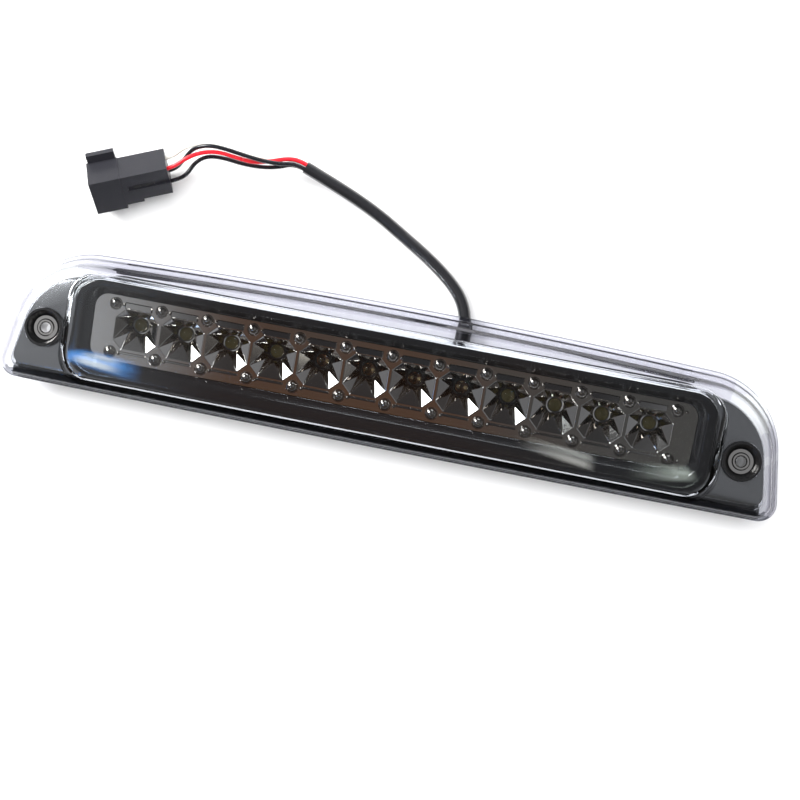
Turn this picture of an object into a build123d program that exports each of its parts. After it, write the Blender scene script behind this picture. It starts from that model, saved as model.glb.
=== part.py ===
"""Third brake light: a pick-up truck's high-mounted stop and cargo lamp with its pigtail harness.

Frame: X along the lamp, Y towards its upper edge, Z out of its face. The origin is the centre of the
lamp's footprint, on the surface that the back of its rear box rests on. Millimetres and degrees.
"""
from build123d import *
import math
import os

os.makedirs("parts", exist_ok=True)

# ---- Driving dimensions -------------------------------------------------------------------------

# Lamp outline at the mounting flange
half_height = 36.9
half_length_low = 203.3  # where the leaning sides would meet the lower edge
half_length_high = 192.4  # where they would meet the upper edge
bow_low = 0.7  # how far the lower edge bows out at its middle
bow_high = 4.6
corner_low_r = 9.0
corner_high_r = 40.0

# Levels, measured from the back of the rear box
plate_z = 13.0  # back of the housing's plate
plate_t = 2.5
flange_top_z = 16.0  # top of the lens's square edge
ear_z = 25.0  # outer face of the lens over the screws
lens_t = 2.5
bezel_z = 20.0  # back of the bezel's ear plates
bezel_t = 1.5
gasket_z = 10.0  # back of the gasket, where the vehicle's panel bears

# Insets from the outline: side, lower edge, upper edge
ear_inset = (5.5, 2.7, 8.8)
cavity_inset = (7.6, 5.2, 12.4)
foot_inset = (11.3, 6.1, 16.6)  # inner edge of the lens's foot, which stands on the plate
plate_inset = (9.4, 0.5, 13.6)
pocket_inset = (9.2, -3.0, 13.4)
groove_outer_inset = (9.8, 1.8, 14.3)
groove_inner_inset = (10.9, 4.4, 16.0)
bezel_inset = (7.9, 7.1, 12.9)
boss_inset = (11.6, 6.4, 16.9)
foot_top_z = 18.5
groove_depth = 0.8

# Window of the bezel, which leans back with the tray below it
tilt = 12.0
tray_y = -1.9
tray_z = 24.0
border_height = 4.5  # border's face above the tray
window_half = (154.8, 17.2)
border_half_length = 158.7
border_half_height = 21.0
border_outer_half_length = 164.2
border_outer_low = -26.5
border_outer_high = 24.3
pillow_gap = 1.0  # air between the border's face and the lens

# Lamps and their reflector cups
led_count = 12
led_pitch = 24.0
led_y = 2.1
led_hole_z = 14.0
led_r = 3.8
cup_mouth = (21.0, 20.0)
cup_corner = 5.0
cup_hole_r = 5.2
cup_wall = 1.0
cup_floor = 1.2  # from the hole's rim down to the cup's lower end
stud_r = 2.75
stud_row_y = 12.6

# Circuit board and the box around it
board_z = 8.4
board_t = 1.6
board_half_length = 143.5
board_low = -20.0
board_high = 16.0
box_half_length = 150.0
box_low = -27.0
box_high = 20.0
box_wall = 2.2
box_floor = 2.0
post_r = 3.2
post_columns = (-120.0, 0.0, 120.0)
post_rows = (-15.0, 11.0)

# Mounting screws' rubber grommets and metal bushings
screw_spacing = 359.6
screw_y = -8.5
grommet_r = 9.8
boss_r = 12.5
bushing_bore_r = 2.6
bushing_r = 4.0
bushing_flange_r = 6.2
bushing_flange_z = 19.4

# Harness
sleeve_d = 6.5
wire_d = 2.2
wire_offset = 1.25  # of each wire from the sleeve's centreline, both ways
cable_x = 31.6
cable_z = 5.4
grommet_neck_r = 4.1
grommet_flange_r = 4.5
wire_entry = 4.3  # how far a wire goes into the connector

# Connector: its frame's origin is the mating end of its upper ridge
connector_ridge = (-169.9, 66.75, 28.3)
connector_heading = 23.2
connector_rise = -6.3
connector_roll = 37.2
connector_length = 40.6
connector_width = 16.0
connector_height = 16.8
shroud_length = 16.0
shroud_height = 20.6
shroud_step = 0.3
shroud_wall = 1.6
shroud_depth = 13.5
pin_columns = (4.3, 12.4)
pin_rows = (-3.9, -12.6)
pin_tip = 6.5

# ---- Planes and outlines ------------------------------------------------------------------------

lean = math.radians(tilt)
tray_plane = Plane(
    origin=(0, tray_y, tray_z), x_dir=(1, 0, 0), z_dir=(0, -math.sin(lean), math.cos(lean))
)
border_plane = tray_plane.offset(border_height)
pillow_plane = border_plane.offset(pillow_gap + lens_t)

led_columns = [(i - (led_count - 1) / 2) * led_pitch for i in range(led_count)]
stud_columns = [(i - led_count / 2) * led_pitch for i in range(led_count + 1)]
screw_places = [(-screw_spacing / 2, screw_y), (screw_spacing / 2, screw_y)]


def lamp_outline(inset=(0.0, 0.0, 0.0)):
    """The lamp's outline, inset at its sides, its lower edge and its upper edge."""
    side, low, high = inset
    side_lean = (half_length_low - half_length_high) / (2 * half_height - bow_low - bow_high)
    x_low = half_length_low - side - low * side_lean
    x_high = half_length_high - side + high * side_lean
    y_low = -half_height + low
    y_high = half_height - high
    with BuildSketch(mode=Mode.PRIVATE) as outline:
        with BuildLine():
            ThreePointArc((-x_low, y_low + bow_low), (0, y_low), (x_low, y_low + bow_low))
            Line((x_low, y_low + bow_low), (x_high, y_high - bow_high))
            ThreePointArc((x_high, y_high - bow_high), (0, y_high), (-x_high, y_high - bow_high))
            Line((-x_high, y_high - bow_high), (-x_low, y_low + bow_low))
        make_face()
        fillet(outline.vertices().group_by(Axis.Y)[0], radius=corner_low_r - side / 2)
        fillet(outline.vertices().group_by(Axis.Y)[-1], radius=corner_high_r - side)
    return outline.sketch


def rounded(half_length, low, high, radius):
    """A rounded rectangle, centred along X, from low to high along Y."""
    with BuildSketch(mode=Mode.PRIVATE) as outline:
        with Locations((0, (low + high) / 2)):
            RectangleRounded(2 * half_length, high - low, radius)
    return outline.sketch


def finish(builder, name):
    """Label a finished piece and write it."""
    builder.part.label = name
    export_step(builder.part, f"parts/{name}.step")


full_outline = lamp_outline()
ear_outline = lamp_outline(ear_inset)
cavity_outline = lamp_outline(cavity_inset)
foot_outline = lamp_outline(foot_inset)
plate_outline = lamp_outline(plate_inset)
pocket_outline = lamp_outline(pocket_inset)
groove_outer = lamp_outline(groove_outer_inset)
groove_inner = lamp_outline(groove_inner_inset)
bezel_outline = lamp_outline(bezel_inset)
boss_limit = lamp_outline(boss_inset)

# ---- Lens: one clear moulding with a square flange, two ears and a leaning pillow -------------------

pillow_r = 16.0
pillow_root = rounded(169.5, -33.2, 23.8, pillow_r)
pillow_face = rounded(167.5, -30.0, 27.6, pillow_r - 1)
pillow_root_inner = rounded(167.0, -30.9, 21.2, pillow_r - lens_t)
pillow_face_inner = rounded(165.2, -27.7, 25.5, pillow_r - lens_t - 1)
pillow_root_z = ear_z - 0.4

with BuildPart() as lens:
    with BuildSketch(Plane.XY.offset(plate_z)):
        add(full_outline)
    extrude(amount=flange_top_z - plate_z)
    with BuildSketch(Plane.XY.offset(flange_top_z)):
        add(full_outline)
    with BuildSketch(Plane.XY.offset(ear_z)):
        add(ear_outline)
    loft(ruled=True)
    with BuildSketch(Plane.XY.offset(pillow_root_z)):
        add(pillow_root)
    with BuildSketch(pillow_plane):
        add(pillow_face)
    loft(ruled=True)
    with BuildSketch(Plane.XY.offset(foot_top_z)):
        add(cavity_outline)
    extrude(amount=ear_z - lens_t - foot_top_z, mode=Mode.SUBTRACT)
    with BuildSketch(Plane.XY.offset(plate_z)):
        add(foot_outline)
    extrude(amount=foot_top_z - plate_z, mode=Mode.SUBTRACT)
    with BuildSketch(Plane.XY.offset(plate_z)):
        add(pocket_outline)
    extrude(amount=plate_t, mode=Mode.SUBTRACT)
    with BuildSketch(Plane.XY.offset(ear_z - lens_t - 0.4)):
        add(pillow_root_inner)
    with BuildSketch(pillow_plane.offset(-lens_t)):
        add(pillow_face_inner)
    loft(ruled=True, mode=Mode.SUBTRACT)
    with BuildSketch(Plane.XY.offset(plate_z)):
        with Locations(*screw_places):
            Circle(grommet_r + 0.2)
    extrude(amount=ear_z, mode=Mode.SUBTRACT)
finish(lens, "lens")

# ---- Housing: back plate, rear box for the board, screw bosses and board posts ----------------------

with BuildPart() as housing:
    with BuildSketch(Plane.XY.offset(plate_z)):
        add(plate_outline)
    extrude(amount=plate_t)
    with BuildSketch(Plane.XY):
        add(rounded(box_half_length, box_low, box_high, 6.0))
    extrude(amount=plate_z)
    with BuildSketch(Plane.XY.offset(box_floor)):
        add(
            rounded(
                box_half_length - box_wall, box_low + box_wall, box_high - box_wall, 6.0 - box_wall
            )
        )
    extrude(amount=plate_z + plate_t, mode=Mode.SUBTRACT)
    with BuildSketch(Plane.XY.offset(plate_z + plate_t)):
        with Locations(*screw_places):
            Circle(boss_r)
        add(boss_limit, mode=Mode.INTERSECT)
    extrude(amount=bezel_z - plate_z - plate_t)
    with BuildSketch(Plane.XY.offset(plate_z + plate_t)):
        with Locations(*screw_places):
            Circle(grommet_r + 0.1)
    extrude(amount=bezel_z, mode=Mode.SUBTRACT)
    with BuildSketch(Plane.XY.offset(plate_z)):
        with Locations(*screw_places):
            Circle(8.0)
    extrude(amount=plate_t, mode=Mode.SUBTRACT)
    with BuildSketch(Plane.XY.offset(plate_z + plate_t - groove_depth)):
        add(groove_outer)
        add(groove_inner, mode=Mode.SUBTRACT)
    extrude(amount=groove_depth, mode=Mode.SUBTRACT)
    with BuildSketch(Plane.XY.offset(box_floor)):
        with Locations(*[(x, y) for x in post_columns for y in post_rows]):
            Circle(post_r)
    extrude(amount=board_z - box_floor)
    with BuildSketch(Plane.XY.offset(box_floor)):
        with Locations(*[(x, y) for x in post_columns for y in post_rows]):
            Circle(1.25)
    extrude(amount=board_z, mode=Mode.SUBTRACT)
    with BuildSketch(Plane((cable_x, box_high - box_wall, cable_z), z_dir=(0, 1, 0))):
        Circle(grommet_neck_r)
    extrude(amount=box_wall, mode=Mode.SUBTRACT)
    with BuildSketch(Plane((cable_x, box_high - box_wall, cable_z), z_dir=(0, -1, 0))):
        Circle(grommet_flange_r + 0.1)
    extrude(amount=8.0, mode=Mode.SUBTRACT)
finish(housing, "housing")

with BuildPart() as lens_seal:
    with BuildSketch(Plane.XY.offset(plate_z + plate_t - groove_depth)):
        add(groove_outer)
        add(groove_inner, mode=Mode.SUBTRACT)
    extrude(amount=groove_depth - 0.01)
finish(lens_seal, "lens_seal")

with BuildPart() as gasket:
    with BuildSketch(Plane.XY.offset(gasket_z)):
        add(rounded(box_half_length + 4.7, box_low - 4.7, box_high + 4.7, 10.0))
        add(rounded(box_half_length + 0.3, box_low - 0.3, box_high + 0.3, 6.3), mode=Mode.SUBTRACT)
    extrude(amount=plate_z - gasket_z)
finish(gasket, "gasket")

# ---- Bezel: ear plates and the raised border of the window ------------------------------------------

root_low = -29.1
root_high = 20.6
border_outer_r = 14.0

with BuildPart() as bezel:
    with BuildSketch(Plane.XY.offset(bezel_z)):
        add(bezel_outline)
    extrude(amount=bezel_t)
    with BuildSketch(Plane.XY.offset(bezel_z)):
        add(rounded(165.4, root_low, root_high, border_outer_r))
    with BuildSketch(border_plane):
        add(rounded(border_outer_half_length, border_outer_low, border_outer_high, border_outer_r - 1))
    loft(ruled=True)
    with BuildSketch(Plane.XY.offset(bezel_z - 0.5)):
        add(
            rounded(
                165.4 - bezel_t, root_low + bezel_t, root_high - bezel_t, border_outer_r - bezel_t
            )
        )
    with BuildSketch(border_plane.offset(-bezel_t)):
        add(
            rounded(
                border_outer_half_length - bezel_t,
                border_outer_low + bezel_t,
                border_outer_high - bezel_t,
                border_outer_r - bezel_t - 1,
            )
        )
    loft(ruled=True, mode=Mode.SUBTRACT)
    with BuildSketch(border_plane.offset(-0.2)):
        add(
            rounded(
                border_half_length + bezel_t,
                -border_half_height - bezel_t,
                border_half_height + bezel_t,
                10.0 + bezel_t,
            )
        )
    with BuildSketch(tray_plane.offset(-bezel_t)):
        add(
            rounded(
                window_half[0] + bezel_t, -window_half[1] - bezel_t, window_half[1] + bezel_t, 9.0
            )
        )
    loft(ruled=True)
    with BuildSketch(border_plane):
        add(rounded(border_half_length, -border_half_height, border_half_height, 10.0))
    with BuildSketch(tray_plane):
        add(rounded(window_half[0], -window_half[1], window_half[1], 7.5))
    loft(ruled=True, mode=Mode.SUBTRACT)
    with BuildSketch(tray_plane.offset(-border_height)):
        add(rounded(window_half[0], -window_half[1], window_half[1], 7.5))
    extrude(amount=border_height, mode=Mode.SUBTRACT)
    with BuildSketch(Plane.XY.offset(bezel_z - 1)):
        with Locations(*screw_places):
            Circle(grommet_r + 0.3)
    extrude(amount=bezel_t + 2, mode=Mode.SUBTRACT)
finish(bezel, "bezel")

# ---- Reflector: leaning tray with twelve faceted cups, studs and bars -------------------------------

tray_t = 1.5


def octagon(width, height, corner, x, y):
    """A rectangle with cut corners, centred on x, y, in the current sketch."""
    w = width / 2
    h = height / 2
    with Locations((x, y)):
        Polygon(
            (w, -h + corner),
            (w, h - corner),
            (w - corner, h),
            (-w + corner, h),
            (-w, h - corner),
            (-w, -h + corner),
            (-w + corner, -h),
            (w - corner, -h),
            align=None,
        )


with BuildPart() as reflector:
    with BuildSketch(tray_plane.offset(-tray_t)):
        add(rounded(window_half[0] - 0.2, -window_half[1] + 0.2, window_half[1] - 0.2, 7.0))
    extrude(amount=tray_t)
    with BuildSketch(tray_plane.offset(-2 * tray_t - 0.1)):
        add(rounded(window_half[0] + 3.0, -window_half[1] - 2.8, window_half[1] + 2.8, 9.0))
    extrude(amount=tray_t)
    with BuildSketch(tray_plane.offset(-2 * tray_t)):
        add(rounded(window_half[0] - 0.2, -window_half[1] + 0.2, window_half[1] - 0.2, 7.0))
    extrude(amount=tray_t)
    for wall, mode in ((cup_wall, Mode.ADD), (0.0, Mode.SUBTRACT)):
        width = cup_mouth[0] + 2 * wall
        height = cup_mouth[1] + 2 * wall
        hole = 2 * (cup_hole_r + wall)
        for x in led_columns:
            with BuildSketch(tray_plane):
                octagon(width, height, cup_corner, x, 0)
            with BuildSketch(Plane.XY.offset(led_hole_z - cup_floor)):
                octagon(hole, hole, hole * (1 - math.sqrt(0.5)), x, led_y)
            loft(ruled=True, mode=mode)
    with Locations(
        *[tray_plane * Pos(x, y, -0.4) for x in stud_columns for y in (-stud_row_y, stud_row_y)]
    ):
        Sphere(stud_r)
    with Locations(*[tray_plane * Pos(x, stud_row_y, 0.3) for x in led_columns]):
        Box(14.0, 3.4, 1.8)
    with Locations(*[tray_plane * Pos(x, -stud_row_y + 0.6, 0.1) for x in led_columns]):
        Box(14.0, 1.2, 1.4)
finish(reflector, "reflector")

# ---- Board with its lamps, resistors, diodes, screws and leads --------------------------------------

board_top = board_z + board_t
screw_hole_r = 1.7

with BuildPart() as led_board:
    with BuildSketch(Plane.XY.offset(board_z)):
        add(rounded(board_half_length, board_low, board_high, 2.0))
        with Locations(*[(x, y) for x in post_columns for y in post_rows]):
            Circle(screw_hole_r, mode=Mode.SUBTRACT)
    extrude(amount=board_t)
finish(led_board, "led_board")


def led_set(columns, name):
    """Lamps with a round base and a domed top, one solid for each column."""
    with BuildPart() as leds:
        with BuildSketch(Plane.XY.offset(board_top)):
            with Locations(*[(x, led_y) for x in columns]):
                Circle(led_r)
        extrude(amount=led_hole_z - board_top)
        with BuildSketch(Plane.XY.offset(led_hole_z)):
            with Locations(*[(x, led_y) for x in columns]):
                Circle(led_r - 0.4)
        extrude(amount=0.6)
        with Locations(*[(x, led_y, led_hole_z + 0.6) for x in columns]):
            Sphere(led_r - 0.4, arc_size1=0)
    finish(leds, name)


led_set(led_columns[:4] + led_columns[8:], "leds_cargo")
led_set(led_columns[4:8], "leds_brake")

with BuildPart() as resistors:
    with BuildSketch(Plane.XY.offset(board_top)):
        with Locations(*[(x, -10.0) for x in stud_columns[2:-2] if x != 0]):
            RectangleRounded(6.3, 3.2, 0.3)
    extrude(amount=0.6)
finish(resistors, "resistors")

with BuildPart() as diodes:
    with BuildSketch(Plane.XY.offset(board_top)):
        with Locations((12.0, 11.5), (24.0, 11.5), (36.0, 11.5)):
            RectangleRounded(4.5, 2.6, 0.3)
    extrude(amount=2.1)
    chamfer(diodes.faces().group_by(Axis.Z)[-1].edges(), length=0.3)
finish(diodes, "diodes")

with BuildPart() as board_screws:
    with BuildSketch(Plane.XY.offset(board_top)):
        with Locations(*[(x, y) for x in post_columns for y in post_rows]):
            Circle(2.8)
    extrude(amount=1.6)
    fillet(board_screws.faces().group_by(Axis.Z)[-1].edges(), radius=0.8)
    with BuildSketch(Plane.XY.offset(board_top - 5.5)):
        with Locations(*[(x, y) for x in post_columns for y in post_rows]):
            Circle(1.2)
    extrude(amount=5.5)
    with BuildSketch(Plane.XY.offset(board_top + 0.7)):
        with Locations(*[(x, y) for x in post_columns for y in post_rows]):
            Rectangle(2.6, 0.6)
            Rectangle(0.6, 2.6)
    extrude(amount=2, mode=Mode.SUBTRACT)
finish(board_screws, "board_screws")

# ---- Screw grommets and bushings --------------------------------------------------------------------

for side, (x, y) in zip(("left", "right"), screw_places):
    with BuildPart() as screw_grommet:
        with BuildSketch(Plane((x, y, 0), x_dir=(1, 0, 0), z_dir=(0, -1, 0))):
            with BuildLine():
                Polyline(
                    (bushing_r + 0.02, gasket_z),
                    (9.4, gasket_z),
                    (9.4, plate_z - 0.02),
                    (7.9, plate_z - 0.02),
                    (7.9, plate_z + plate_t + 0.02),
                    (grommet_r, plate_z + plate_t + 0.02),
                    (grommet_r, ear_z + 0.2),
                    (grommet_r - 1.2, ear_z + 0.2),
                    (bushing_flange_r + 0.9, bushing_flange_z + 1.6),
                    (bushing_flange_r + 0.3, bushing_flange_z),
                    (bushing_r + 0.02, bushing_flange_z),
                    close=True,
                )
            make_face()
        revolve(axis=Axis((x, y, 0), (0, 0, 1)))
    finish(screw_grommet, f"screw_grommet_{side}")
    with BuildPart() as screw_bushing:
        with BuildSketch(Plane((x, y, 0), x_dir=(1, 0, 0), z_dir=(0, -1, 0))):
            with BuildLine():
                Polyline(
                    (bushing_bore_r, gasket_z),
                    (bushing_r, gasket_z),
                    (bushing_r, bushing_flange_z),
                    (bushing_flange_r, bushing_flange_z),
                    (bushing_flange_r, bushing_flange_z + 0.9),
                    (bushing_r + 0.6, bushing_flange_z + 0.9),
                    (bushing_r, bushing_flange_z + 1.6),
                    (bushing_bore_r + 0.5, bushing_flange_z + 1.6),
                    (bushing_bore_r, bushing_flange_z + 1.1),
                    close=True,
                )
            make_face()
        revolve(axis=Axis((x, y, 0), (0, 0, 1)))
    finish(screw_bushing, f"screw_bushing_{side}")

# ---- Cable grommet ----------------------------------------------------------------------------------

grommet_inner_y = box_high - box_wall - 1.6
grommet_plane = Plane(origin=(cable_x, 0, cable_z), x_dir=(1, 0, 0), z_dir=(0, 0, 1))

with BuildPart() as cable_grommet:
    with BuildSketch(grommet_plane):
        with BuildLine():
            Polyline(
                (sleeve_d / 2, grommet_inner_y),
                (grommet_flange_r, grommet_inner_y),
                (grommet_flange_r, box_high - box_wall - 0.02),
                (grommet_neck_r, box_high - box_wall - 0.02),
                (grommet_neck_r, box_high + 0.02),
                (grommet_flange_r, box_high + 0.02),
                (grommet_flange_r, box_high + 1.6),
                (grommet_flange_r - 0.3, box_high + 2.2),
                (grommet_flange_r - 0.8, box_high + 11.0),
                (sleeve_d / 2, box_high + 11.0),
                close=True,
            )
        make_face()
    revolve(axis=Axis((cable_x, 0, cable_z), (0, 1, 0)))
finish(cable_grommet, "cable_grommet")

# ---- Connector --------------------------------------------------------------------------------------

heading = math.radians(connector_heading)
rise = math.radians(connector_rise)
roll = math.radians(connector_roll)
along = Vector(math.cos(heading) * math.cos(rise), math.sin(heading) * math.cos(rise), math.sin(rise))
across = Vector(-math.sin(heading), math.cos(heading), 0)
upright = along.cross(across)
connector_plane = Plane(
    origin=connector_ridge, x_dir=along, z_dir=across * math.sin(roll) + upright * math.cos(roll)
)
pin_places = [(y, z) for y in pin_columns for z in pin_rows]
lock_z = sum(pin_rows) / 2
lock_start = 21.5
lock_length = 11.0
lock_t = 1.7
lock_travel = 2.0


def block(x, y, z, mode=Mode.ADD):
    """A box in the connector's frame, from its three spans."""
    middle = Pos((x[0] + x[1]) / 2, (y[0] + y[1]) / 2, (z[0] + z[1]) / 2)
    with Locations(connector_plane * middle):
        Box(x[1] - x[0], y[1] - y[0], z[1] - z[0], mode=mode)


with BuildPart() as connector_housing:
    block((shroud_length - 1, connector_length), (0, connector_width), (-connector_height, 0))
    block((shroud_length - 1, 25.2), (0, connector_width), (-connector_height - 1.8, 0))
    block(
        (0, shroud_length),
        (-shroud_step, connector_width + shroud_step),
        (-shroud_height, shroud_step),
    )
    block((0.9, 15.4), (connector_width - 0.2, connector_width + 2.6), (-9.0, 5.0))
    block(
        (-1, shroud_depth),
        (shroud_wall - shroud_step, connector_width - shroud_wall + shroud_step),
        (-shroud_height + shroud_wall, shroud_step - shroud_wall),
        Mode.SUBTRACT,
    )
    for y, z in pin_places:
        block(
            (shroud_depth - 1, connector_length + 1),
            (y - 1.35, y + 1.35),
            (z - 1.35, z + 1.35),
            Mode.SUBTRACT,
        )
    block((19.0, connector_length + 1), (-1, 1.3), (lock_z - 1.5, lock_z + 1.5), Mode.SUBTRACT)
    block(
        (lock_start - 0.08, lock_start + lock_length + 0.08),
        (-1, 7.6),
        (lock_z - lock_t / 2 - 0.08, lock_z + lock_t / 2 + 0.08),
        Mode.SUBTRACT,
    )
finish(connector_housing, "connector_housing")

with BuildPart() as terminal_lock:
    block(
        (lock_start, lock_start + lock_length),
        (0.5, 7.1),
        (lock_z - lock_t / 2, lock_z + lock_t / 2),
    )
finish(terminal_lock, "terminal_lock")

crimp_end = connector_length - wire_entry
with BuildPart() as terminals:
    for y, z in pin_places:
        block((pin_tip, 20.0), (y - 0.75, y + 0.75), (z - 0.4, z + 0.4))
        block((18.0, 30.0), (y - 1.2, y + 1.2), (z - 1.2, z + 1.2))
        block((29.0, crimp_end), (y - 0.9, y + 0.9), (z - 0.8, z + 0.8))
finish(terminals, "terminals")

# ---- Cords: straight runs joined by tangent arcs ----------------------------------------------------


def bend_radii(points):
    """Each corner's radius: 0.45 of its shorter run, divided by the tangent of half the turn."""
    radii = []
    for before, corner, after in zip(points, points[1:], points[2:]):
        run_in = corner - before
        run_out = after - corner
        half_turn = math.radians(run_in.get_angle(run_out)) / 2
        radii.append(0.45 * min(run_in.length, run_out.length) / math.tan(half_turn))
    return radii


def cord(points, diameter, name):
    """A plain tube along a route, written under its name."""
    route = [Vector(*point) for point in points]
    radii = bend_radii(route)
    with BuildPart() as tube:
        with BuildLine() as path:
            FilletPolyline(*route, radius=radii)
        with BuildSketch(Plane(origin=route[0], z_dir=route[1] - route[0])):
            Circle(diameter / 2)
        sweep()
    finish(tube, name)
    length = path.wires()[0].length
    share = tube.part.volume / (math.pi * diameter**2 / 4 * length)
    print(f"{name}: {length:.1f} mm long, bends {[round(r, 1) for r in radii]}, volume share {share:.4f}")


# The last point is the sleeve's mouth, where the four wires come out.
sleeve_route = [
    (cable_x, grommet_inner_y, cable_z),
    (cable_x, 31.8, cable_z),
    (29.6, 41.0, 4.9),
    (24.6, 49.2, 4.0),
    (15.3, 57.4, 3.6),
    (4.6, 64.8, 3.5),
    (-9.0, 72.8, 3.6),
    (-22.6, 80.8, 4.6),
    (-35.8, 86.9, 6.4),
    (-49.5, 92.3, 9.1),
    (-64.4, 97.8, 12.0),
]
cord(sleeve_route, sleeve_d, "cable_sleeve")

mouth = Vector(*sleeve_route[-1])
out = (mouth - Vector(*sleeve_route[-2])).normalized()
beside = Vector(0, 0, 1).cross(out).normalized()
above = out.cross(beside)


def mouth_place(beside_sign, above_sign, ahead=0.0):
    """A wire's place at the sleeve's mouth, or ahead of it. Positive beside is the side away from the lamp."""
    place = mouth - beside * (wire_offset * beside_sign) + above * (wire_offset * above_sign)
    return tuple(place + out * ahead)


def connector_place(y, z, behind=0.0):
    """A wire's place at the end of its crimp, or behind it."""
    return tuple(connector_plane.from_local_coords(Vector(crimp_end + behind, y, z)))


near, far = pin_columns
upper, lower = pin_rows
wire_routes = {
    "wire_white": [
        connector_place(far, upper),
        connector_place(far, upper, 7.5),
        (-128.2, 96.2, 15.0),
        (-119.6, 100.0, 15.6),
        (-110.8, 100.2, 15.8),
        (-102.2, 98.3, 15.4),
        (-92.6, 98.2, 13.2),
        (-84.0, 98.8, 11.4),
        (-75.6, 100.2, 10.6),
        mouth_place(1, -1, 4.6),
        mouth_place(1, -1),
    ],
    "wire_black_upper": [
        connector_place(far, lower),
        connector_place(far, lower, 7.6),
        (-127.4, 90.2, 13.0),
        (-122.6, 96.1, 18.8),
        (-114.2, 98.8, 21.6),
        (-104.6, 98.4, 21.4),
        (-94.6, 97.0, 20.0),
        (-85.4, 96.2, 17.8),
        (-77.0, 96.6, 15.4),
        mouth_place(-1, 1, 5.0),
        mouth_place(-1, 1),
    ],
    "wire_red": [
        connector_place(near, upper),
        connector_place(near, upper, 7.0),
        (-124.8, 90.3, 20.0),
        (-117.8, 94.8, 19.2),
        (-109.0, 96.7, 18.6),
        (-99.6, 95.6, 17.0),
        (-90.6, 94.9, 15.2),
        (-82.0, 97.4, 13.8),
        (-74.4, 100.2, 14.0),
        mouth_place(1, 1, 4.6),
        mouth_place(1, 1),
    ],
    "wire_black_lower": [
        connector_place(near, lower),
        connector_place(near, lower, 7.0),
        (-124.0, 82.6, 14.6),
        (-121.0, 89.4, 15.2),
        (-115.4, 93.9, 15.4),
        (-106.8, 94.6, 14.9),
        (-97.4, 93.5, 13.4),
        (-88.0, 93.6, 12.0),
        (-79.4, 95.0, 11.4),
        mouth_place(-1, -1, 5.4),
        mouth_place(-1, -1),
    ],
}
for name, route in wire_routes.items():
    cord(route, wire_d, name)

# Leads from the sleeve's inner end to the back of the board
with BuildPart() as board_leads:
    for beside_sign in (-1, 1):
        for above_sign in (-1, 1):
            x = cable_x + wire_offset * beside_sign
            z = cable_z + wire_offset * above_sign
            landing_y = 8.0 if above_sign > 0 else 3.0
            start = Vector(x, grommet_inner_y, z)
            turn = Vector(x, landing_y, z)
            end = Vector(x, landing_y, board_z)
            with BuildLine():
                FilletPolyline(start, turn, end, radius=1.2)
            with BuildSketch(Plane(origin=start, z_dir=turn - start)):
                Circle(0.8)
            sweep()
finish(board_leads, "board_leads")

connector_box = connector_housing.part.bounding_box()
print("connector lowest", round(connector_box.min.Z, 2))
print("terminal lock slides along", [round(-v, 4) for v in connector_plane.y_dir])
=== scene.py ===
"""Looks of the third brake light: camera, cords, detailed pieces, materials, floor, world and light.

Shapes are worked out in millimetres in the model's frame and written to Blender in metres. X runs along the
lamp, Y towards its upper edge and Z out of its face.
"""

import math

import bmesh
import bpy
import numpy as np
from mathutils import Matrix, Vector


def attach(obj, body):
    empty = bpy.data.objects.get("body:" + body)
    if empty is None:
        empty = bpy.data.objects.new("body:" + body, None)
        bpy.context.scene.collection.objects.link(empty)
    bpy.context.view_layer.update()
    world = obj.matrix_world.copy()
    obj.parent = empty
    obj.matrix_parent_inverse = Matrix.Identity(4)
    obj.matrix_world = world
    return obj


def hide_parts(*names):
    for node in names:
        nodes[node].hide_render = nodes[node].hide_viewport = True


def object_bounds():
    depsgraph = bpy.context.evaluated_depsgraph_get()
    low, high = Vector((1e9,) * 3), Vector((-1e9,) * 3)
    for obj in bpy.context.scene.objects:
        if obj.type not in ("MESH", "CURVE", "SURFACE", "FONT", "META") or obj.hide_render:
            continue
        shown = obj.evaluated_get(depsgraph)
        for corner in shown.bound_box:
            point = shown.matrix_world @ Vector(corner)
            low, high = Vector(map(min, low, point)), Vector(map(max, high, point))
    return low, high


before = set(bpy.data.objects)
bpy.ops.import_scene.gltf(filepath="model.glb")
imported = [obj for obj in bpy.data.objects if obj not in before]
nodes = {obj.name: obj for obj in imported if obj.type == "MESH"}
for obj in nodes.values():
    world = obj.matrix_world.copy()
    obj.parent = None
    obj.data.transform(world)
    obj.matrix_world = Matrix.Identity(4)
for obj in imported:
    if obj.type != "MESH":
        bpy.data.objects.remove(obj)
cad_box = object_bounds()

MM = 0.001
scene = bpy.context.scene

# ---- Camera ---------------------------------------------------------------------------------------------

CAMERA_PLACE = Vector((0.0799, -0.0158, 0.8767))
CAMERA_TARGET = Vector((0.0053, -0.0105, 0.0))
CAMERA_ROLL = math.radians(11.0)
CAMERA_LENS = 76.5
CAMERA_SENSOR = 36.0
CAMERA_NEAREST = 0.01


def aim(thing, target, up):
    """Turn a camera or light so that it looks at a target, with its top towards up."""
    back = (thing.location - target).normalized()
    right = up.cross(back).normalized()
    top = back.cross(right)
    thing.rotation_euler = Matrix((right, top, back)).transposed().to_euler()


camera_data = bpy.data.cameras.new("camera")
camera_data.lens = CAMERA_LENS
camera_data.sensor_width = CAMERA_SENSOR
camera_data.clip_start = CAMERA_NEAREST
camera = bpy.data.objects.new("camera", camera_data)
scene.collection.objects.link(camera)
camera.location = CAMERA_PLACE
aim(camera, CAMERA_TARGET, Vector((-math.sin(CAMERA_ROLL), math.cos(CAMERA_ROLL), 0)))
scene.camera = camera

# ---- Cords: the same routes as the CAD tubes ------------------------------------------------------------

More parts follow.
